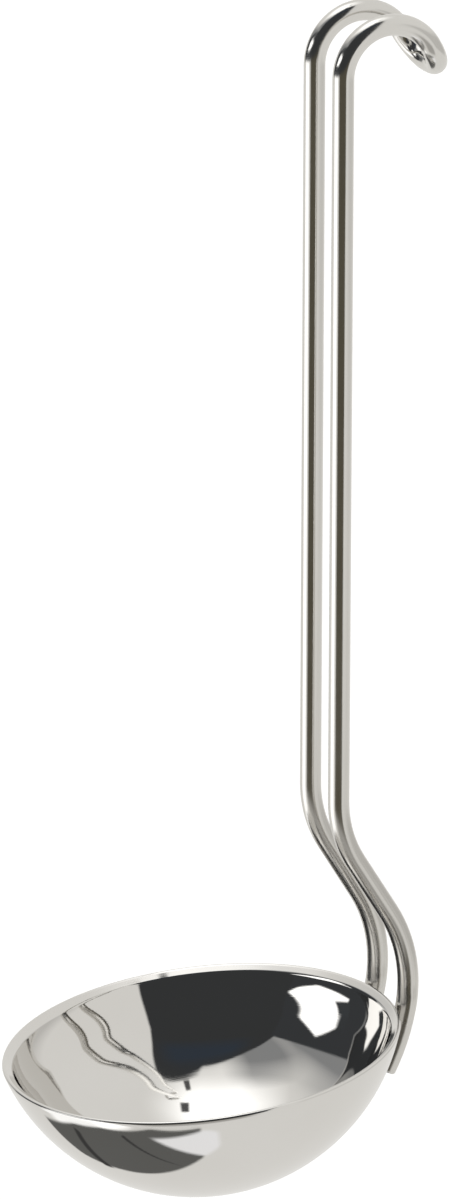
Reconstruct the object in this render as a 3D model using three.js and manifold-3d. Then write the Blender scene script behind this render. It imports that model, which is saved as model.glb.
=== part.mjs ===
// Steel ladle with a wire handle. Millimetres, +Z up, as the ladle hangs by its hook.
// The origin is the inner crown of the hook, midway between the two legs of the wire.
// +X runs away from the bowl, towards the hook's tip, and Y runs across the legs.
import * as THREE from 'three';
import { mergeVertices } from 'three/addons/utils/BufferGeometryUtils.js';
import Module from 'manifold-3d';

const degrees = THREE.MathUtils.degToRad;

// Handle: one round wire, bent double. Bend radii are those of its centreline.
const wireDiameter = 5;
const legSpacing = 15.5;
const seatSpacing = 16.7;
const tipBendRadius = 7;
const hookBendRadius = 11.5;
const hookTurn = degrees(149);
const gripLength = 169.5;
const upperKinkRadius = 28.5;
const kinkTurn = degrees(32);
const kinkStraight = 15.4;
const lowerKinkRadius = 33.8;
const seatLean = degrees(11);
const seatTurn = degrees(17.5);

// Bowl: a cap of a sphere, higher at the handle
const rimDiameter = 92.5;
const bowlDepth = 34.6;
const wallThickness = 2;
const rimEdgeRadius = 0.55;
const rimBevel = degrees(53);
const rimTilt = degrees(7);

// Welds: one under each leg's lower end
const seatGap = 0.4;
const weldClearance = 0.12;
const weldLength = 11;
const weldWidth = 4.4;
const weldHeight = 1.8;

// Fineness of the curved surfaces
const wireSides = 20;
const bendStep = degrees(8);
const bowlSides = 72;
const wallSteps = 16;
const edgeSteps = 4;
const weldSides = 24;
const cutterSides = 144;

// Sizes that follow from those above
const wireRadius = wireDiameter / 2;
const rimRadius = rimDiameter / 2;
const bowlRadius = (rimRadius ** 2 + bowlDepth ** 2) / (2 * bowlDepth);
const innerRadius = bowlRadius - wallThickness;
const rimDrop = bowlRadius - bowlDepth;
const seatReach = bowlRadius + seatGap + wireRadius;
const seatBendRadius = Math.sqrt(seatReach ** 2 - (seatSpacing / 2) ** 2);

// Side view of one leg, traced from the hook's tip down to the bowl.
// A positive turn is to the left as one goes along the wire.
class SideTrace {
  constructor(x, z, heading) {
    this.place = new THREE.Vector2(x, z);
    this.heading = heading;
    this.points = [this.place.clone()];
  }

  straight(length) {
    this.place.x += length * Math.cos(this.heading);
    this.place.y += length * Math.sin(this.heading);
    this.points.push(this.place.clone());
  }

  bend(radius, turn) {
    const centre = this.bendCentre(radius, turn);
    const steps = Math.ceil(Math.abs(turn) / bendStep);
    for (let step = 0; step < steps; step += 1) {
      this.place.rotateAround(centre, turn / steps);
      this.points.push(this.place.clone());
    }
    this.heading += turn;
  }

  bendCentre(radius, turn) {
    const side = this.heading + Math.sign(turn) * Math.PI / 2;
    return new THREE.Vector2(Math.cos(side), Math.sin(side)).multiplyScalar(radius).add(this.place);
  }
}

const straightDown = degrees(270);
const hookCentreHeight = wireRadius - hookBendRadius;
const tipHeading = straightDown - hookTurn;
const trace = new SideTrace(
  hookBendRadius * Math.sin(tipHeading),
  hookCentreHeight - hookBendRadius * Math.cos(tipHeading),
  tipHeading,
);
const tipEnd = trace.points[0].clone();
trace.bend(hookBendRadius, hookTurn);
trace.straight(gripLength);
const kinkTop = trace.place.y;
trace.bend(upperKinkRadius, kinkTurn);
trace.straight(kinkStraight);
trace.bend(lowerKinkRadius, -kinkTurn - seatLean);
const kinkBottom = trace.place.y;
const bowlCentre = trace.bendCentre(seatBendRadius, -seatTurn);
trace.bend(seatBendRadius, -seatTurn);

// The legs part a little on their way down the kink
function legOffset(z) {
  const closed = THREE.MathUtils.smoothstep(z, kinkBottom, kinkTop);
  return THREE.MathUtils.lerp(seatSpacing, legSpacing, closed) / 2;
}

// Half of the wire's closed end, from its middle to the hook, where it lies in the hook's tangent plane
function tipStations() {
  const bendSide = legSpacing / 2 - tipBendRadius;
  const steps = Math.ceil(degrees(90) / bendStep);
  const stations = [];
  for (let step = 0; step < steps; step += 1) {
    const turned = degrees(90) * step / steps;
    const past = tipBendRadius * Math.cos(turned);
    stations.push(new THREE.Vector3(
      tipEnd.x - past * Math.cos(tipHeading),
      bendSide + tipBendRadius * Math.sin(turned),
      tipEnd.y - past * Math.sin(tipHeading),
    ));
  }
  return stations;
}

// Centreline of the whole wire, up one leg and down the other
const farHalf = [
  ...tipStations(),
  ...trace.points.map((point) => new THREE.Vector3(point.x, legOffset(point.y), point.y)),
];
const nearHalf = farHalf.map((station) => station.clone().setY(-station.y)).reverse();

class StationPath extends THREE.Curve {
  constructor(stations) {
    super();
    this.stations = stations;
  }

  getPoint(t, target = new THREE.Vector3()) {
    const last = this.stations.length - 2;
    const place = t * (last + 1);
    const index = Math.min(Math.floor(place), last);
    return target.lerpVectors(this.stations[index], this.stations[index + 1], place - index);
  }

  // One ring of the tube at each station, so the straight legs need no rings of their own
  getUtoTmapping(u) {
    return u;
  }
}

const wirePath = new StationPath([...nearHalf, ...farHalf]);

function wireGeometry(radius) {
  const section = new THREE.Shape().absarc(0, 0, radius, 0, degrees(360), false);
  return new THREE.ExtrudeGeometry(section, {
    steps: wirePath.stations.length - 1,
    curveSegments: wireSides / 2,
    extrudePath: wirePath,
  });
}

// Points along a circle about (distance, height), with angles taken from the bowl's radius line
function arcPoints(distance, height, radius, from, to, steps) {
  return Array.from({ length: steps + 1 }, (unused, step) => {
    const angle = THREE.MathUtils.lerp(from, to, step / steps);
    return new THREE.Vector2(distance + radius * Math.cos(angle), height + radius * Math.sin(angle));
  });
}

// Bowl, turned about its own axis, with the sphere's centre at the origin.
// The rim's edge is rounded outside and bevelled inside, leaning outward from upright.
function bowlGeometry() {
  const edgeHeight = -rimDrop - rimEdgeRadius;
  const outerWidth = Math.sqrt(bowlRadius ** 2 - edgeHeight ** 2);
  const edgeTurn = degrees(180) - rimBevel;
  const edge = arcPoints(outerWidth - rimEdgeRadius, edgeHeight, rimEdgeRadius, 0, edgeTurn, edgeSteps);
  const bevelTop = edge[edge.length - 1];
  const bevelFoot = bevelTop.clone().addScaledVector(downBevel, bevelLength(bevelTop));
  const lowest = degrees(-90);
  const profile = [
    ...arcPoints(0, 0, bowlRadius, lowest, Math.atan2(edgeHeight, outerWidth), wallSteps),
    ...edge.slice(1),
    ...arcPoints(0, 0, innerRadius, Math.atan2(bevelFoot.y, bevelFoot.x), lowest, wallSteps),
  ];
  profile[0].x = 0;
  profile[profile.length - 1].x = 0;
  return new THREE.LatheGeometry(profile, bowlSides);
}

// The bevel ends where its line meets the inner sphere
const downBevel = new THREE.Vector2(-Math.sin(rimBevel), -Math.cos(rimBevel));

function bevelLength(top) {
  const toMiddle = -top.dot(downBevel);
  return toMiddle - Math.sqrt(toMiddle ** 2 - top.lengthSq() + innerRadius ** 2);
}

// Cutting with solids
const wasm = await Module();
wasm.setup();

function solidOf(geometry) {
  const bare = geometry.clone();
  bare.deleteAttribute('normal');
  bare.deleteAttribute('uv');
  const merged = mergeVertices(bare);
  return new wasm.Manifold(new wasm.Mesh({
    numProp: 3,
    vertProperties: merged.attributes.position.array,
    triVerts: Uint32Array.from(merged.index.array),
  }));
}

function geometryOf(solid) {
  const mesh = solid.getMesh();
  const geometry = new THREE.BufferGeometry();
  geometry.setAttribute('position', new THREE.BufferAttribute(mesh.vertProperties, mesh.numProp));
  geometry.setIndex(new THREE.BufferAttribute(mesh.triVerts, 1));
  geometry.computeVertexNormals();
  return geometry;
}

// Weld: a lens of metal along the line where a leg lies against the wall, shaped by both of them
const wallCutter = solidOf(
  new THREE.SphereGeometry(bowlRadius + weldClearance, cutterSides, cutterSides / 2)
    .translate(bowlCentre.x, 0, bowlCentre.y),
);
const wireCutter = solidOf(wireGeometry(wireRadius + weldClearance));

function weldGeometry(side) {
  const angle = -seatLean - seatTurn / 2;
  const outward = new THREE.Vector3(
    seatBendRadius * Math.cos(angle),
    side * seatSpacing / 2,
    seatBendRadius * Math.sin(angle),
  ).normalize();
  const along = new THREE.Vector3(-Math.sin(angle), 0, Math.cos(angle));
  const across = new THREE.Vector3().crossVectors(along, outward);
  const centre = outward.clone().multiplyScalar(bowlRadius + seatGap / 2);
  centre.add(new THREE.Vector3(bowlCentre.x, 0, bowlCentre.y));
  const lens = new THREE.SphereGeometry(1, weldSides, weldSides / 2);
  lens.scale(weldWidth / 2, weldLength / 2, weldHeight / 2);
  lens.applyMatrix4(new THREE.Matrix4().makeBasis(across, along, outward).setPosition(centre));
  return geometryOf(solidOf(lens).subtract(wallCutter).subtract(wireCutter));
}

// Polished stainless steel, a little duller where it was welded
const steelColour = 0xcfccc6;
const polish = 0.1;
const weldRoughness = 0.4;

function steel(roughness) {
  return new THREE.MeshStandardMaterial({ color: steelColour, metalness: 1, roughness });
}

const bowl = new THREE.Mesh(bowlGeometry(), steel(polish));
bowl.name = 'bowl';
bowl.position.set(bowlCentre.x, 0, bowlCentre.y);
bowl.rotation.set(degrees(90), -rimTilt, 0, 'YXZ');

const handle = new THREE.Mesh(wireGeometry(wireRadius), steel(polish));
handle.name = 'handle_wire';

const farWeld = new THREE.Mesh(weldGeometry(1), steel(weldRoughness));
farWeld.name = 'weld_far';

const nearWeld = new THREE.Mesh(weldGeometry(-1), steel(weldRoughness));
nearWeld.name = 'weld_near';

const ladle = new THREE.Group();
ladle.add(bowl, handle, farWeld, nearWeld);

export default ladle;
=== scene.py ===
# Looks of the wire-handled steel ladle, in metres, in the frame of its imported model:
# the origin is the hook's inner crown, +Z is up and +X runs away from the bowl.
import math

import bmesh
import bpy
from mathutils import Matrix, Vector


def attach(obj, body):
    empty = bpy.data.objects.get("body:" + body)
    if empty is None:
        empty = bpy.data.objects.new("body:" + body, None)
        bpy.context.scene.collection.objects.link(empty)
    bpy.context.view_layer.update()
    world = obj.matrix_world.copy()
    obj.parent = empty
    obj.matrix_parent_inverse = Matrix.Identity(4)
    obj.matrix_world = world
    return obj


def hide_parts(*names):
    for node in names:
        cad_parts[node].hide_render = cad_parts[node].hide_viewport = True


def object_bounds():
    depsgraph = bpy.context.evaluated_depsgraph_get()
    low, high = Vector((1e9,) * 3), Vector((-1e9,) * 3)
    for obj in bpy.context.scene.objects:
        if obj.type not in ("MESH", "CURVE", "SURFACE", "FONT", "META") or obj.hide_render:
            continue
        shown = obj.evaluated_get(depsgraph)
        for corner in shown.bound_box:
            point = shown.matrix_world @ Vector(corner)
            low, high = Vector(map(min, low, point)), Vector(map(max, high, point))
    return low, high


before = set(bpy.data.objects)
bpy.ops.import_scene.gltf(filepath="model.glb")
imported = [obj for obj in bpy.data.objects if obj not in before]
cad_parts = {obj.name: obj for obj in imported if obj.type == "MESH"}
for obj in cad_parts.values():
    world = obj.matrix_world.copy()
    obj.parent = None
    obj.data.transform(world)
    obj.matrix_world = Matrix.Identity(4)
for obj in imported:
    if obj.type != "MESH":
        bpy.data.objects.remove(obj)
cad_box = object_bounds()

MM = 0.001
QUARTER_TURN = math.radians(90)
HALF_TURN = math.radians(180)
FULL_TURN = math.radians(360)
STRAIGHT_DOWN = math.radians(270)
UP = Vector((0, 0, 1))
ACROSS = Vector((0, 1, 0))

# Sizes of the wire; bend radii are those of its centreline
WIRE_RADIUS = 2.5 * MM
LEG_SPACING = 15.5 * MM
SEAT_SPACING = 16.7 * MM
TIP_BEND_RADIUS = 7 * MM
HOOK_BEND_RADIUS = 11.5 * MM
HOOK_TURN = math.radians(149)
GRIP_LENGTH = 169.5 * MM
UPPER_KINK_RADIUS = 28.5 * MM
KINK_TURN = math.radians(32)
KINK_STRAIGHT = 15.4 * MM
LOWER_KINK_RADIUS = 33.8 * MM
SEAT_LEAN = math.radians(11)
SEAT_TURN = math.radians(17.5)
TIP_HEADING = STRAIGHT_DOWN - HOOK_TURN

# Where the wire is pressed a little flat for welding
PRESS_LENGTH = 20 * MM
PRESS_EASE = 1.6 * MM
PRESSED_WIDTH = 5.6 * MM
PRESSED_THICKNESS = 4.7 * MM
WIRE_END_ROUNDING = 0.7 * MM

# Name of the wire's vertex data: place in the round section and length along the wire
SECTION = "section"

# Sizes of the bowl; the bevel leans outward from upright, and spans are angles up the wall, seen from
# the sphere's middle, with 0 level with it
RIM_RADIUS = 46.25 * MM
BOWL_DEPTH = 34.6 * MM
WALL = 2 * MM
RIM_ROUNDING = 0.55 * MM
BEVEL_LEAN = math.radians(53)
RIM_TILT = math.radians(7)
LOWER_THINNING = 0.35 * MM
UPPER_THINNING = 0.45 * MM
LOWER_THINNING_SPAN = math.radians(-50), math.radians(-37)
UPPER_THINNING_SPAN = math.radians(-31), math.radians(-19)
BOWL_RADIUS = (RIM_RADIUS ** 2 + BOWL_DEPTH ** 2) / (2 * BOWL_DEPTH)
INNER_RADIUS = BOWL_RADIUS - WALL

# Sizes of the welds
SEAT_GAP = 0.4 * MM
WELD_WIDTH = 4.4 * MM
WELD_LENGTH = 11 * MM
WELD_HEIGHT = 1.5 * MM
WELD_RIPPLES = 9
WELD_RIPPLE_DEPTH = 0.12
SEAT_REACH = BOWL_RADIUS + SEAT_GAP + WIRE_RADIUS
SEAT_BEND_RADIUS = math.sqrt(SEAT_REACH ** 2 - (SEAT_SPACING / 2) ** 2)

# Fineness of the surfaces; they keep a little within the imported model, whose faces are flat
FACET_MARGIN = 0.05 * MM
BEND_STEP = math.radians(3)
STRAIGHT_STEP = 6 * MM
WIRE_SIDES = 48
END_RINGS = 5
BOWL_SIDES = 192
WALL_STEPS = 90
RIM_STEPS = 12
BEVEL_STEPS = 6
WELD_SIDES = 32
WELD_STEPS = 96

# Detail of a noise, in octaves
COARSE = 1.0
FINE = 3.0
FINEST = 4.0

# Bowl's steel; here and below colours are linear, depths are in metres, finenesses are per unit of place,
# and a span is the range of a noise or an angle over which a roughness or a tint changes
BOWL_SHADES = (0.715, 0.70, 0.675), (0.765, 0.755, 0.735)
RING_CROWDING = 90.0
RING_FINENESS = 3.0
RING_DEPTH = 1.5e-6
RING_SPAN = 0.5, 0.8
RING_ROUGHNESS = 0.0, 0.03
BOWL_WIPE_FINENESS = 38.0
BOWL_WIPE_SPAN = 0.45, 0.7
BOWL_ROUGHNESS = 0.02, 0.05
BOWL_WAVE_FINENESS = 60.0
BOWL_WAVE_DEPTH = 8e-6
RIM_WEAR_SPAN = math.radians(-19.5), math.radians(-17)
RIM_WEAR_ROUGHNESS = 0.0, 0.08

# Wire's steel; its duller parts, whose colour is also darkened with painted shade, begin and end at heights
# over the kink's top
CLEAN_SHADES = (0.70, 0.685, 0.655), (0.76, 0.75, 0.725)
# darker tones of the duller wire, partly painted shade on the kink and the legs below it
DULL_AND_SHADED_TONES = (0.62, 0.605, 0.575), (0.76, 0.745, 0.715)
LINE_STRETCH = 1, 1, 4
LINE_FINENESS = 6.0
LINE_DEPTH = 5e-6
WIRE_WIPE_FINENESS = 55.0
WIRE_WIPE_SPAN = 0.4, 0.7
WIRE_ROUGHNESS = 0.12, 0.18
WIRE_WAVE_FINENESS = 90.0
WIRE_WAVE_DEPTH = 1.5e-5
BENT_START = 60 * MM
BENT_END = -30 * MM
BENT_ROUGHNESS = 0.06
PRESSED_START = -35 * MM
PRESSED_END = -60 * MM
PRESSED_ROUGHNESS = 0.0, 0.08

# Welds' steel
STRAW_TINT = 0.50, 0.43, 0.33
BLUE_TINT = 0.44, 0.45, 0.49
TINT_FINENESS = 260.0
TINT_SPAN = 0.4, 0.6
GRAIN_FINENESS = 900.0
GRAIN_DEPTH = 3e-5
GRAIN_SPAN = 0.3, 0.7
WELD_ROUGHNESS = 0.28, 0.5
SCALE_STRETCH = 0.2, 0.2, 1
SCALE_FINENESS = 1200.0
SCALE_DEPTH = 1.2e-4

# Camera, fitted to the photograph; its azimuth and elevation are in degrees, as those of the panels are
PHOTO_HEIGHT = 1200
FOCAL_PIXELS = 9500
SENSOR = 36
VIEW_AZIMUTH = -24.04
VIEW_ELEVATION = 17.29
VIEW_ROLL = math.radians(0.157)
VIEW_DISTANCE = 2146 * MM
VIEW_HEIGHT_OVER_BOWL = 100 * MM
VIEW_SHIFT_RIGHT = 6.645 * MM
VIEW_SHIFT_UP = -6.899 * MM
VIEW_REACH = 50

# Floor: its glow and the light that falls on it come to white, with a faint shadow
FLOOR_DROP = 40 * MM
FLOOR_SIZE = 8
FLOOR_COLOUR = (0.7, 0.7, 0.7, 1)
FLOOR_GLOW = 0.85
BACKDROP_COLOUR = (1, 1, 1, 1)
FULL_STRENGTH = 1.0

# Levels of light in the surroundings
TENT = (0.83, 0.82, 0.795)
OVERHEAD = (1.75, 1.75, 1.74)
TENT_FOOT = (0.62, 0.61, 0.59)
TENT_SHADE = (0.28, 0.285, 0.29)
DARK_ROOM = (0.042, 0.044, 0.046)
DARK_CEILING = (0.036, 0.046, 0.062)
DARK_LEFT = (0.045, 0.048, 0.052)
WINDOW = (1.7, 1.7, 1.7)
WINDOW_BAR = (0.05, 0.055, 0.06)
TENT_GAP = (0.1, 0.1, 0.1)
SUNLIT_GROUND = (1.6, 1.6, 1.6)
BRIGHT_GROUND = (1.3, 1.3, 1.3)
WHITE_GROUND = (0.98, 0.98, 1.0)
GREY_GROUND = (0.45, 0.44, 0.42)
BROWN_GROUND = (0.10, 0.09, 0.066)
DARK_GROUND = (0.13, 0.13, 0.125)
GROUND_EDGE = (0.05, 0.05, 0.05)

# Panels of the surroundings: level, half width of the soft edge in radians, and corners of a convex outline,
# each an azimuth from the front (-Y) towards the right (+X) and an elevation; later ones cover earlier ones
PANELS = {
    "overhead light": (OVERHEAD, 0.22, ((-60, 72), (-115, 55), (-170, 48), (150, 62), (90, 75), (20, 76))),
    "foot of the tent": (TENT_FOOT, 0.06, ((30, -12), (112, -12), (112, 12), (30, 12))),
    "shaded wall": (TENT_SHADE, 0.13, ((-76, 30), (-150, -2), (-175, 10), (-142, 34), (-104, 43))),
    "shaded edge": (TENT_SHADE, 0.11, ((-62, 60), (-78, 32), (-124, 38), (-92, 65))),
    "dark room": (
        DARK_ROOM, 0.012, ((10, -5), (10, 70), (-58.6, 68), (-72.8, 61.8), (-84.5, 48.2), (-92, -5)),
    ),
    "dark room's corner": (DARK_ROOM, 0.012, ((10, 41), (38, 71), (26, 74), (-35, 73.2), (-50, 60))),
    "dark room's ceiling": (DARK_CEILING, 0.08, ((10, 70), (6, 52), (-70, 48), (-74, 59), (-50, 69))),
    "dark room's left": (DARK_LEFT, 0.012, ((-84, 38), (-153, 10), (-153, -8), (-84, -8))),
    "window": (
        WINDOW, 0.012,
        ((-84, 20), (-99, 22.7), (-114, 23.5), (-126, 12), (-127, 4.5), (-112, 6), (-101, 7.3), (-89, 14.4)),
    ),
    "window bar": (WINDOW_BAR, 0.01, ((-117, 11), (-124, 13), (-132, 10), (-128, 5.5))),
    "gap in the tent's top": (TENT_GAP, 0.01, ((84, 83), (102, 87), (142, 81), (124, 79.3))),
    "tent post": (TENT_GAP, 0.008, ((0, 76), (-13, 76), (-11.5, 82.6), (8, 82.5))),
    "sunlit ground": (SUNLIT_GROUND, 0.03, ((-126, -7), (-82, -7), (-82, -61), (-118, -58.5), (-126, -55))),
    "bright ground": (
        BRIGHT_GROUND, 0.04, ((-126, -30), (-150, -38), (-152, -47.5), (-118, -58.5), (-100, -45)),
    ),
    "brown ground": (BROWN_GROUND, 0.06, ((-66, -3), (6, -3), (8, -25), (-66, -25))),
    "grey ground": (GREY_GROUND, 0.08, ((-62, -24), (8, -24), (14, -46), (-62, -50))),
    "dark ground": (
        DARK_GROUND, 0.012,
        ((-162, -41.5), (-136, -51), (-114, -57.3), (-66, -63.5), (-18, -63.8), (24.5, -85.5), (-178.5, -66),
         (-174, -48)),
    ),
    "white ground": (WHITE_GROUND, 0.02, ((-74, -69.8), (-13.6, -65.1), (0, -66), (18, -76), (24.5, -84.8))),
    "outer ground edge": (GROUND_EDGE, 0.008, ((-141, -51.5), (-177, -52.3), (-177, -54.7), (-141, -53.7))),
    "inner ground edge": (
        GROUND_EDGE, 0.008, ((-100.3, -64.3), (-104.5, -64.3), (-171, -82.7), (-157, -82.7)),
    ),
}


# Shapes

class SideTrace:
    """Side view of one leg, traced from the hook's tip down; a positive turn is to the left."""

    def __init__(self, x, z, heading):
        self.place = Vector((x, z))
        self.heading = heading
        self.points = [self.place.copy()]

    def straight(self, length):
        steps = math.ceil(length / STRAIGHT_STEP)
        stride = Vector((math.cos(self.heading), math.sin(self.heading))) * (length / steps)
        for _ in range(steps):
            self.place = self.place + stride
            self.points.append(self.place.copy())

    def bend(self, radius, turn):
        centre = self.bend_centre(radius, turn)
        steps = math.ceil(abs(turn) / BEND_STEP)
        spoke = self.place - centre
        for step in range(1, steps + 1):
            self.place = centre + Matrix.Rotation(turn * step / steps, 2) @ spoke
            self.points.append(self.place.copy())
        self.heading += turn

    def bend_centre(self, radius, turn):
        side = self.heading + math.copysign(QUARTER_TURN, turn)
        return self.place + Vector((math.cos(side), math.sin(side))) * radius


def smooth_step(value, low, high):
    """Goes smoothly from 0 to 1 as the value goes from low to high."""
    part = min(max((value - low) / (high - low), 0), 1)
    return part * part * (3 - 2 * part)


def circle_angles(count):
    """Evenly spaced angles around one full turn."""
    return [FULL_TURN * index / count for index in range(count)]


def trace_leg():
    """Points of one leg's side view, the heights of the kink's top and bottom, and the bowl's centre."""
    hook_height = WIRE_RADIUS - HOOK_BEND_RADIUS
    trace = SideTrace(
        HOOK_BEND_RADIUS * math.sin(TIP_HEADING),
        hook_height - HOOK_BEND_RADIUS * math.cos(TIP_HEADING),
        TIP_HEADING,
    )
    trace.bend(HOOK_BEND_RADIUS, HOOK_TURN)
    trace.straight(GRIP_LENGTH)
    top = trace.place.y
    trace.bend(UPPER_KINK_RADIUS, KINK_TURN)
    trace.straight(KINK_STRAIGHT)
    trace.bend(LOWER_KINK_RADIUS, -KINK_TURN - SEAT_LEAN)
    bottom = trace.place.y
    centre = trace.bend_centre(SEAT_BEND_RADIUS, -SEAT_TURN)
    trace.bend(SEAT_BEND_RADIUS, -SEAT_TURN)
    return trace.points, top, bottom, Vector((centre.x, 0, centre.y))


def tip_stations(start):
    """Half of the wire's closed end, from its middle to the hook, in the hook's tangent plane."""
    tip = Vector((start.x, 0, start.y))
    onward = -Vector((math.cos(TIP_HEADING), 0, math.sin(TIP_HEADING)))
    side = LEG_SPACING / 2 - TIP_BEND_RADIUS
    steps = math.ceil(QUARTER_TURN / BEND_STEP)
    stations = []
    for step in range(steps):
        turned = QUARTER_TURN * step / steps
        offset = side + TIP_BEND_RADIUS * math.sin(turned)
        stations.append(tip + onward * (TIP_BEND_RADIUS * math.cos(turned)) + ACROSS * offset)
    return stations


def leg_stations(points, top, bottom):
    """The far leg's centreline; the legs part a little on their way down the kink."""
    stations = []
    for point in points:
        spread = 1 - smooth_step(point.y, bottom, top)
        offset = (LEG_SPACING + (SEAT_SPACING - LEG_SPACING) * spread) / 2
        stations.append(Vector((point.x, offset, point.y)))
    return stations


def mesh_object(name, build):
    """A smooth-shaded mesh object, filled by the given function."""
    mesh = bpy.data.meshes.new(name)
    shape = bmesh.new()
    build(shape)
    bmesh.ops.recalc_face_normals(shape, faces=shape.faces)
    for face in shape.faces:
        face.smooth = True
    shape.to_mesh(mesh)
    shape.free()
    thing = bpy.data.objects.new(name, mesh)
    bpy.context.scene.collection.objects.link(thing)
    return thing


def join_rings(shape, rings):
    """Faces between each ring of vertices and the next."""
    for ring, following in zip(rings, rings[1:]):
        count = len(ring)
        for index in range(count):
            after = (index + 1) % count
            shape.faces.new((ring[index], ring[after], following[after], following[index]))


def close_ring(shape, ring, centre):
    """A fan of faces from a ring of vertices to one point."""
    apex = shape.verts.new(centre)
    for index, vertex in enumerate(ring):
        shape.faces.new((vertex, ring[(index + 1) % len(ring)], apex))


def lengths_to_end(points):
    """Length of wire from each point to the nearer end."""
    travelled = [0]
    for point, following in zip(points, points[1:]):
        travelled.append(travelled[-1] + (following - point).length)
    return [min(length, travelled[-1] - length) for length in travelled]


def section_size(to_end):
    """Half the wire's thickness and width, which change where it is pressed flat."""
    pressed = 1 - smooth_step(to_end, PRESS_LENGTH - PRESS_EASE, PRESS_LENGTH)
    radius = WIRE_RADIUS - FACET_MARGIN
    thickness = radius + (PRESSED_THICKNESS / 2 - radius) * pressed
    width = radius + (PRESSED_WIDTH / 2 - radius) * pressed
    return thickness, width


def wire_sections(far_half, tip_count):
    """Place, tangent and two half axes of each section, from the near leg's end to the far leg's."""
    near_half = [Vector((point.x, -point.y, point.z)) for point in reversed(far_half)]
    points = near_half + far_half
    middle = (len(points) - 1) / 2
    tip_tangent = (far_half[tip_count + 1] - far_half[tip_count]).normalized()
    sections = []
    for index, (point, to_end) in enumerate(zip(points, lengths_to_end(points))):
        before = points[max(index - 1, 0)]
        after = points[min(index + 1, len(points) - 1)]
        tangent = (after - before).normalized()
        if abs(index - middle) < tip_count:
            outward = ACROSS.cross(tip_tangent)
        else:
            downward = 1 if index > middle else -1
            outward = ACROSS.cross(tangent * downward).normalized()
        thickness, width = section_size(to_end)
        sections.append((point, tangent, outward * thickness, tangent.cross(outward) * width))
    return sections


def rounded_end(section, direction):
    """Sections that round off the wire's cut end, from the end face inwards."""
    point, tangent, outward, sideways = section
    sections = []
    for step in range(END_RINGS + 1):
        angle = QUARTER_TURN * step / END_RINGS
        inset = WIRE_END_ROUNDING * (1 - math.cos(angle))
        shrink = 1 - WIRE_END_ROUNDING * (1 - math.sin(angle)) / WIRE_RADIUS
        sections.append((point - tangent * direction * inset, tangent, outward * shrink, sideways * shrink))
    return sections


def build_wire(shape, far_half, tip_count):
    """The wire's skin; each vertex keeps its place in the section and its length along the wire."""
    sections = wire_sections(far_half, tip_count)
    sections = rounded_end(sections[0], -1) + sections[1:-1] + rounded_end(sections[-1], 1)[::-1]
    own_place = shape.verts.layers.float_vector.new(SECTION)
    rings = []
    travelled = 0
    for index, (point, _, outward, sideways) in enumerate(sections):
        travelled += (point - sections[max(index - 1, 0)][0]).length
        ring = []
        for angle in circle_angles(WIRE_SIDES):
            vertex = shape.verts.new(point + outward * math.cos(angle) + sideways * math.sin(angle))
            vertex[own_place] = (math.cos(angle), math.sin(angle), travelled)
            ring.append(vertex)
        rings.append(ring)
    join_rings(shape, rings)
    close_ring(shape, rings[0], sections[0][0])
    close_ring(shape, rings[-1], sections[-1][0])


def arc(distance, height, radius, start, end, steps):
    """Points of a circle about (distance, height), from one angle to another."""
    angles = [start + (end - start) * step / steps for step in range(steps + 1)]
    return [(distance + radius * math.cos(a), height + radius * math.sin(a)) for a in angles]


def thinned(distance, height):
    """The sheet is thickest in the bottom, and was drawn thinner in two steps up the inner wall."""
    angle = math.atan2(height, distance)
    extra = LOWER_THINNING * (1 - smooth_step(angle, *LOWER_THINNING_SPAN))
    extra += UPPER_THINNING * (1 - smooth_step(angle, *UPPER_THINNING_SPAN))
    shrink = 1 - extra / INNER_RADIUS
    return distance * shrink, height * shrink


def bevel_line(top):
    """Points of the rim's bevel from its top to where its line meets the inner sphere."""
    top = Vector(top)
    downward = -Vector((math.sin(BEVEL_LEAN), math.cos(BEVEL_LEAN)))
    to_nearest = -top.dot(downward)
    length = to_nearest - math.sqrt(to_nearest ** 2 - top.length_squared + INNER_RADIUS ** 2)
    foot = top + downward * length
    return [tuple(top.lerp(foot, step / BEVEL_STEPS)) for step in range(BEVEL_STEPS + 1)]


def bowl_profile():
    """Outline of the bowl's wall as (distance from axis, height over the sphere's centre)."""
    outer_radius = BOWL_RADIUS - FACET_MARGIN
    edge = BOWL_DEPTH - BOWL_RADIUS - RIM_ROUNDING
    outer_edge = math.sqrt(outer_radius ** 2 - edge ** 2)
    outer = arc(0, 0, outer_radius, -QUARTER_TURN, math.atan2(edge, outer_edge), WALL_STEPS)
    rounding = arc(outer_edge - RIM_ROUNDING, edge, RIM_ROUNDING, 0, HALF_TURN - BEVEL_LEAN, RIM_STEPS)
    bevel = bevel_line(rounding[-1])
    foot_distance, foot_height = bevel[-1]
    inner = arc(0, 0, INNER_RADIUS, math.atan2(foot_height, foot_distance), -QUARTER_TURN, WALL_STEPS)
    return outer + rounding[1:] + bevel[1:-1] + [thinned(*point) for point in inner]


def build_bowl(shape, placing):
    """The bowl's outline, turned about its own axis."""
    profile = bowl_profile()
    rings = []
    for distance, height in profile[1:-1]:
        ring = []
        for angle in circle_angles(BOWL_SIDES):
            spot = Vector((distance * math.cos(angle), distance * math.sin(angle), height))
            ring.append(shape.verts.new(placing @ spot))
        rings.append(ring)
    join_rings(shape, rings)
    close_ring(shape, rings[0], placing @ (UP * profile[0][1]))
    close_ring(shape, rings[-1], placing @ (UP * profile[-1][1]))


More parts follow.
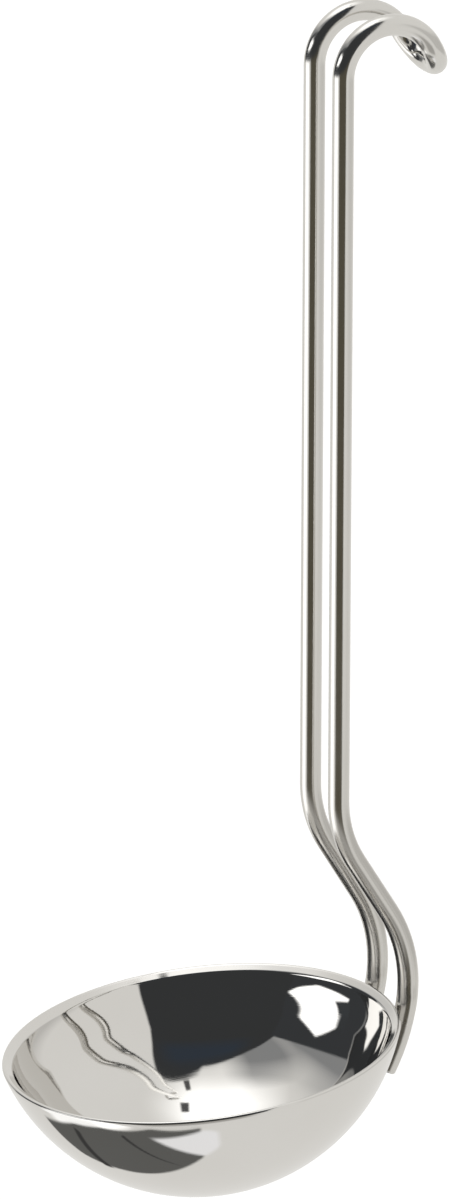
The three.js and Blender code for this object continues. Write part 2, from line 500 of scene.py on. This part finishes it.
def build_weld(shape, bowl_centre, side):
    """A rippled bead of weld metal along the line where a leg lies against the wall."""
    angle = -SEAT_LEAN - SEAT_TURN / 2
    forward = Vector((math.cos(angle), 0, math.sin(angle)))
    outward = (forward * SEAT_BEND_RADIUS + ACROSS * (side * SEAT_SPACING / 2)).normalized()
    along = Vector((-math.sin(angle), 0, math.cos(angle)))
    across = along.cross(outward)
    centre = bowl_centre + outward * (BOWL_RADIUS + SEAT_GAP / 2)
    half_length = along * (WELD_LENGTH / 2)
    rings = []
    for step in range(1, WELD_STEPS):
        turned = HALF_TURN * step / WELD_STEPS
        place = -math.cos(turned)
        ripple = 1 - WELD_RIPPLE_DEPTH * math.cos(WELD_RIPPLES * HALF_TURN * place) ** 2
        wide = across * (WELD_WIDTH / 2 * math.sin(turned) * ripple)
        high = outward * (WELD_HEIGHT / 2 * math.sin(turned) * ripple)
        middle = centre + half_length * place
        ring = [middle + wide * math.cos(a) + high * math.sin(a) for a in circle_angles(WELD_SIDES)]
        rings.append([shape.verts.new(spot) for spot in ring])
    join_rings(shape, rings)
    close_ring(shape, rings[0], centre - half_length)
    close_ring(shape, rings[-1], centre + half_length)


leg_points, kink_top, kink_bottom, bowl_centre = trace_leg()
closed_end = tip_stations(leg_points[0])
far_half = closed_end + leg_stations(leg_points, kink_top, kink_bottom)
bowl_placing = Matrix.Translation(bowl_centre) @ Matrix.Rotation(-RIM_TILT, 4, "Y")
bowl = mesh_object("polished_bowl", lambda shape: build_bowl(shape, bowl_placing))
wire = mesh_object("bent_wire", lambda shape: build_wire(shape, far_half, len(closed_end)))
far_weld = mesh_object("far_weld_bead", lambda shape: build_weld(shape, bowl_centre, 1))
near_weld = mesh_object("near_weld_bead", lambda shape: build_weld(shape, bowl_centre, -1))

for piece, node, slot in (
    (bowl, "bowl", "bowl_steel"),
    (wire, "handle_wire", "wire_steel"),
    (far_weld, "weld_far", "weld_steel"),
    (near_weld, "weld_near", "weld_steel"),
):
    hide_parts(node)
    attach(piece, "root")


# Materials

class Graph:
    """Short calls for adding and linking shader nodes."""

    def __init__(self, tree):
        self.tree = tree
        tree.nodes.clear()

    def add(self, kind, inputs=None, **settings):
        node = self.tree.nodes.new(kind)
        for key, value in settings.items():
            setattr(node, key, value)
        for key, value in (inputs or {}).items():
            self.fill(node.inputs[key], value)
        return node

    def fill(self, socket, value):
        if isinstance(value, bpy.types.NodeSocket):
            self.tree.links.new(value, socket)
        else:
            socket.default_value = value

    def maths(self, operation, *values):
        return self.add("ShaderNodeMath", dict(enumerate(values)), operation=operation).outputs[0]

    def vector(self, operation, *values):
        return self.add("ShaderNodeVectorMath", dict(enumerate(values)), operation=operation).outputs

    def place(self):
        return self.add("ShaderNodeTexCoord").outputs["Object"]

    def noise(self, place, fineness, detail):
        values = {"Vector": place, "Scale": fineness, "Detail": detail}
        return self.add("ShaderNodeTexNoise", values).outputs["Fac"]

    def ramp(self, value, span, onto=(0.0, 1.0)):
        low, high = span
        values = {"Value": value, "From Min": low, "From Max": high, "To Min": onto[0], "To Max": onto[1]}
        return self.add("ShaderNodeMapRange", values, clamp=True).outputs["Result"]

    def blend(self, amount, low, high):
        node = self.add("ShaderNodeMix", {"Factor": amount}, data_type="RGBA")
        low_socket, high_socket = (socket for socket in node.inputs if socket.type == "RGBA")
        for socket, colour in ((low_socket, low), (high_socket, high)):
            self.fill(socket, colour if isinstance(colour, bpy.types.NodeSocket) else (*colour, 1))
        return next(socket for socket in node.outputs if socket.type == "RGBA")

    def bump(self, height, depth, under=None):
        values = {"Height": height, "Distance": depth}
        if under is not None:
            values["Normal"] = under
        return self.add("ShaderNodeBump", values).outputs[0]

    def metal(self, colour, roughness, normal):
        values = {"Metallic": 1.0, "Base Color": colour, "Roughness": roughness, "Normal": normal}
        shader = self.add("ShaderNodeBsdfPrincipled", values)
        self.add("ShaderNodeOutputMaterial", {"Surface": shader.outputs[0]})


def new_material(name):
    """An empty material and its graph."""
    material = bpy.data.materials.new(name)
    material.use_nodes = True
    return material, Graph(material.node_tree)


def bowl_steel():
    """Mirror-polished sheet: faint rings from the polishing wheel, wipe marks, and a rim dulled by use."""
    material, graph = new_material("bowl_steel")
    place = graph.place()
    turned_back = {"Vector": place, "Location": bowl_centre, "Rotation": (0, -RIM_TILT, 0)}
    own = graph.add("ShaderNodeMapping", turned_back, vector_type="TEXTURE").outputs[0]
    height = graph.add("ShaderNodeSeparateXYZ", {0: own}).outputs["Z"]
    level = graph.vector("MULTIPLY", own, (1, 1, 0))[0]
    spoke = graph.vector("LENGTH", level)["Value"]
    latitude = graph.maths("ARCTAN2", height, spoke)
    around = graph.vector("NORMALIZE", level)[0]
    crowded = graph.maths("MULTIPLY", latitude, RING_CROWDING)
    lift = graph.add("ShaderNodeCombineXYZ", {"Z": crowded}).outputs[0]
    rings = graph.noise(graph.vector("ADD", around, lift)[0], RING_FINENESS, FINE)
    wipes = graph.noise(place, BOWL_WIPE_FINENESS, FINEST)
    waves = graph.noise(place, BOWL_WAVE_FINENESS, COARSE)
    haze = graph.ramp(wipes, BOWL_WIPE_SPAN, BOWL_ROUGHNESS)
    streaked = graph.maths("ADD", haze, graph.ramp(rings, RING_SPAN, RING_ROUGHNESS))
    rough = graph.maths("ADD", streaked, graph.ramp(latitude, RIM_WEAR_SPAN, RIM_WEAR_ROUGHNESS))
    normal = graph.bump(rings, RING_DEPTH, graph.bump(waves, BOWL_WAVE_DEPTH))
    graph.metal(graph.blend(wipes, *BOWL_SHADES), rough, normal)
    return material


def wire_steel():
    """Drawn wire: fine lines along it, wipe marks, and a duller skin where it was bent and pressed, whose
    colour is darkened with painted shade.
    """
    material, graph = new_material("wire_steel")
    place = graph.place()
    section = graph.add("ShaderNodeAttribute", attribute_name=SECTION).outputs["Vector"]
    lines = graph.noise(graph.vector("MULTIPLY", section, LINE_STRETCH)[0], LINE_FINENESS, COARSE)
    wipes = graph.noise(place, WIRE_WIPE_FINENESS, FINEST)
    waves = graph.noise(place, WIRE_WAVE_FINENESS, COARSE)
    height = graph.add("ShaderNodeSeparateXYZ", {0: place}).outputs["Z"]
    # mask of the kink and the legs below it: rougher there, and darkened in colour with painted shade
    bent_dull_and_shade = graph.ramp(height, (kink_top + BENT_START, kink_top + BENT_END))
    pressed_span = kink_top + PRESSED_START, kink_top + PRESSED_END
    haze = graph.ramp(wipes, WIRE_WIPE_SPAN, WIRE_ROUGHNESS)
    handled = graph.maths("ADD", haze, graph.maths("MULTIPLY", bent_dull_and_shade, BENT_ROUGHNESS))
    rough = graph.maths("ADD", handled, graph.ramp(height, pressed_span, PRESSED_ROUGHNESS))
    normal = graph.bump(lines, LINE_DEPTH, graph.bump(waves, WIRE_WAVE_DEPTH))
    clean = graph.blend(wipes, *CLEAN_SHADES)
    # painted shade: a darker, streaked colour over the duller skin of the kink and the legs below it
    dull_and_shaded = graph.blend(lines, *DULL_AND_SHADED_TONES)
    graph.metal(graph.blend(bent_dull_and_shade, clean, dull_and_shaded), rough, normal)
    return material


def weld_steel():
    """Weld metal: dull, scaly and tinted straw and blue by heat."""
    material, graph = new_material("weld_steel")
    place = graph.place()
    grain = graph.noise(place, GRAIN_FINENESS, FINE)
    tint = graph.noise(place, TINT_FINENESS, COARSE)
    scales = graph.noise(graph.vector("MULTIPLY", place, SCALE_STRETCH)[0], SCALE_FINENESS, COARSE)
    heat = graph.blend(graph.ramp(tint, TINT_SPAN), STRAW_TINT, BLUE_TINT)
    normal = graph.bump(scales, SCALE_DEPTH, graph.bump(grain, GRAIN_DEPTH))
    graph.metal(heat, graph.ramp(grain, GRAIN_SPAN, WELD_ROUGHNESS), normal)
    return material


bowl.data.materials.append(bowl_steel())
wire.data.materials.append(wire_steel())
bead_steel = weld_steel()
for weld in (far_weld, near_weld):
    weld.data.materials.append(bead_steel)


# Surroundings: a white tent, open to a dark room on the camera's side

def facing(azimuth, elevation):
    """Direction at an azimuth from the front (-Y) towards the right (+X), and an elevation, in degrees."""
    turn, lift = math.radians(azimuth), math.radians(elevation)
    return Vector((math.sin(turn) * math.cos(lift), -math.cos(turn) * math.cos(lift), math.sin(lift)))


def panel_cover(graph, direction, corners, softness):
    """How far a direction lies within a convex outline: 1 inside, 0 outside, and a ramp at its edges."""
    rays = [facing(*corner) for corner in corners]
    middle = sum(rays, Vector())
    cover = None
    for ray, following in zip(rays, rays[1:] + rays[:1]):
        edge = ray.cross(following).normalized()
        if edge.dot(middle) < 0:
            edge.negate()
        inward = graph.vector("DOT_PRODUCT", direction, edge)["Value"]
        inside = graph.ramp(inward, (-softness, softness))
        cover = inside if cover is None else graph.maths("MULTIPLY", cover, inside)
    return cover


def build_world():
    """The tent and its panels, seen in the steel; the camera sees a white backdrop."""
    world = bpy.data.worlds.new("tent")
    world.use_nodes = True
    graph = Graph(world.node_tree)
    direction = graph.add("ShaderNodeTexCoord").outputs["Generated"]
    colour = TENT
    for level, softness, corners in PANELS.values():
        colour = graph.blend(panel_cover(graph, direction, corners, softness), colour, level)
    tent = graph.add("ShaderNodeBackground", {"Color": colour, "Strength": FULL_STRENGTH}).outputs[0]
    plain = {"Color": BACKDROP_COLOUR, "Strength": FULL_STRENGTH}
    backdrop = graph.add("ShaderNodeBackground", plain).outputs[0]
    seen = graph.add("ShaderNodeLightPath").outputs["Is Camera Ray"]
    mixed = graph.add("ShaderNodeMixShader", {0: seen, 1: tent, 2: backdrop})
    graph.add("ShaderNodeOutputWorld", {"Surface": mixed.outputs[0]})
    bpy.context.scene.world = world


def build_floor():
    """A pale floor that keeps the shadow; the steel shows the ground of the surroundings instead of it."""
    floor = mesh_object("floor", lambda shape: bmesh.ops.create_grid(shape, size=FLOOR_SIZE / 2))
    floor.location.z = cad_box[0].z - FLOOR_DROP
    floor.visible_glossy = False
    material, graph = new_material("pale_floor")
    glow = graph.add("ShaderNodeEmission", {"Color": FLOOR_COLOUR, "Strength": FLOOR_GLOW}).outputs[0]
    matt = graph.add("ShaderNodeBsdfDiffuse", {"Color": FLOOR_COLOUR}).outputs[0]
    both = graph.add("ShaderNodeAddShader", {0: glow, 1: matt}).outputs[0]
    graph.add("ShaderNodeOutputMaterial", {"Surface": both})
    floor.data.materials.append(material)


def build_camera():
    """The photograph's view, aimed at a point over the bowl."""
    back = facing(VIEW_AZIMUTH, VIEW_ELEVATION)
    right = UP.cross(back).normalized()
    over = back.cross(right)
    aim = bowl_centre + UP * VIEW_HEIGHT_OVER_BOWL + right * VIEW_SHIFT_RIGHT + over * VIEW_SHIFT_UP
    camera = bpy.data.objects.new("camera", bpy.data.cameras.new("camera"))
    camera.data.sensor_width = SENSOR
    camera.data.lens = FOCAL_PIXELS / PHOTO_HEIGHT * SENSOR
    camera.data.clip_end = VIEW_REACH
    turn = Matrix((right, over, back)).transposed().to_4x4()
    roll = Matrix.Rotation(VIEW_ROLL, 4, "Z")
    camera.matrix_world = Matrix.Translation(aim + back * VIEW_DISTANCE) @ turn @ roll
    bpy.context.scene.collection.objects.link(camera)
    bpy.context.scene.camera = camera


build_world()
build_floor()
build_camera()
bpy.context.scene.view_settings.view_transform = "Standard"
